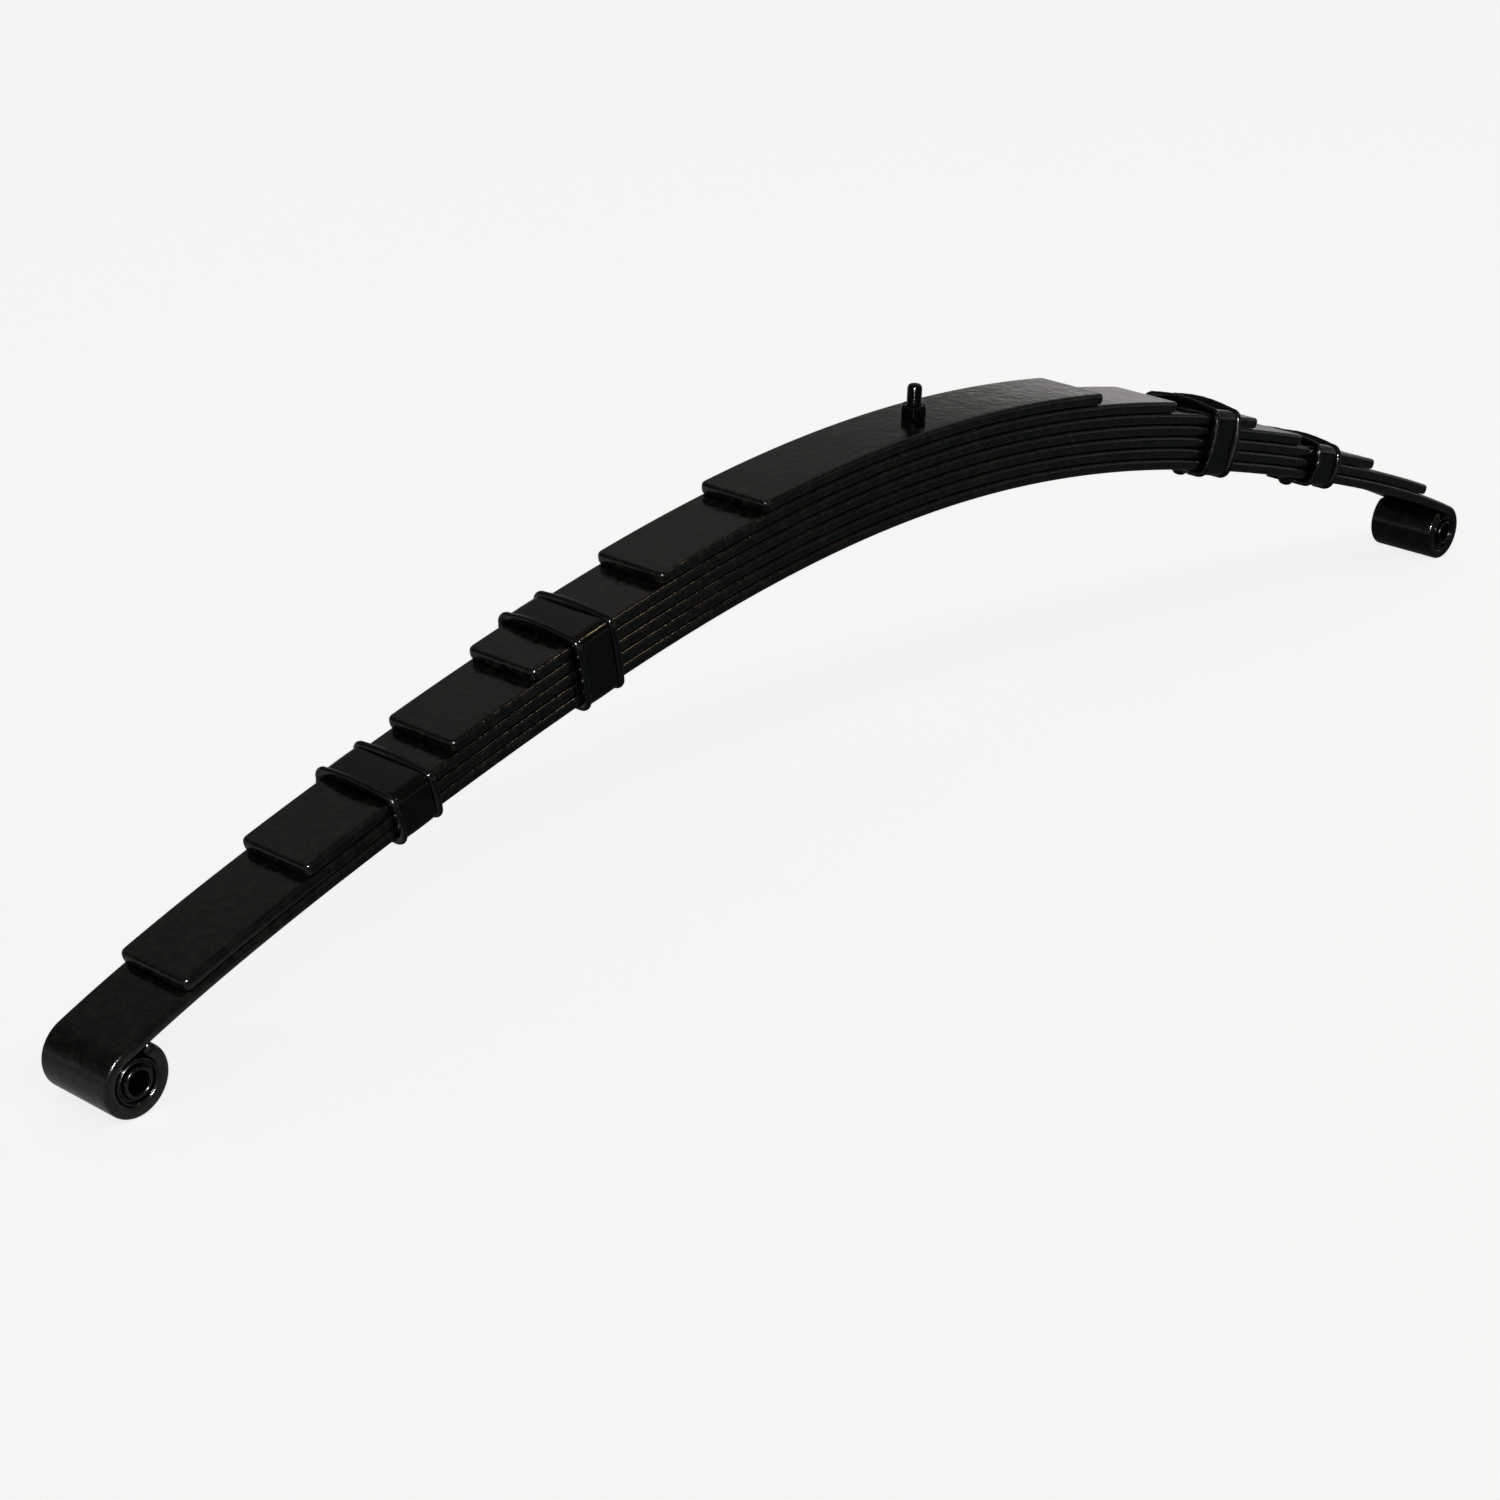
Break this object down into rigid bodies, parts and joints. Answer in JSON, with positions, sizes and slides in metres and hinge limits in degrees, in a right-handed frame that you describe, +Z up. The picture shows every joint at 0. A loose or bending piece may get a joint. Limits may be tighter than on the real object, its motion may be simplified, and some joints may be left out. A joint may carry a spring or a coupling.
{
  "type": "leaf spring",
  "caption": "Semi-elliptic leaf spring with stacked stepped leaves, rolled bushed eyes at both ends, a centre bolt and nut, and riveted pack clips in rubber channels.",
  "frame": {"origin": "middle of the spring in plan, on the surface that the two eyes stand on", "axes": "+X along the spring, +Y across the leaves, +Z up through the pack towards the shortest leaf and the nut"},
  "size_m": [1.1014, 0.0524, 0.2154],
  "materials": {
    "leaf_enamel": "glossy black enamel",
    "clip_enamel": "glossy black enamel",
    "liner_rubber": "black rubber under a thin coat of enamel",
    "fastener_enamel": "black enamel over threads and flats",
    "shell_enamel": "black enamel",
    "bush_rubber": "matt black rubber",
    "sleeve_steel": "dark steel under thin black paint"
  },
  "bodies": {
    "pack": {"main_leaf": "leaf_enamel", "leaf_2": "leaf_enamel", "leaf_3": "leaf_enamel", "leaf_4": "leaf_enamel", "leaf_5": "leaf_enamel", "leaf_6": "leaf_enamel", "leaf_7": "leaf_enamel", "centre_bolt": "fastener_enamel", "centre_bolt_nut": "fastener_enamel", "bush_shell_left": "shell_enamel", "bush_rubber_left": "bush_rubber", "bush_shell_right": "shell_enamel", "bush_rubber_right": "bush_rubber", "clip_band_left_outer": "clip_enamel", "clip_liner_left_outer": "liner_rubber", "clip_rivet_left_outer": "fastener_enamel", "clip_band_left_inner": "clip_enamel", "clip_liner_left_inner": "liner_rubber", "clip_rivet_left_inner": "fastener_enamel", "clip_band_right_inner": "clip_enamel", "clip_liner_right_inner": "liner_rubber", "clip_rivet_right_inner": "fastener_enamel", "clip_band_right_outer": "clip_enamel", "clip_liner_right_outer": "liner_rubber", "clip_rivet_right_outer": "fastener_enamel"},
    "sleeve_left": {"bush_sleeve_left": "sleeve_steel"},
    "sleeve_right": {"bush_sleeve_right": "sleeve_steel"}
  },
  "joints": [
    {"name": "left_eye_turn", "type": "hinge", "parent": "pack", "child": "sleeve_left", "pos_m": [-0.53328, 0, 0.01745], "axis": [0, 1, 0], "range_deg": [-15, 15], "stiffness_Nm_per_rad": 50},
    {"name": "right_eye_turn", "type": "hinge", "parent": "pack", "child": "sleeve_right", "pos_m": [0.53328, 0, 0.01745], "axis": [0, 1, 0], "range_deg": [-15, 15], "stiffness_Nm_per_rad": 50}
  ]
}
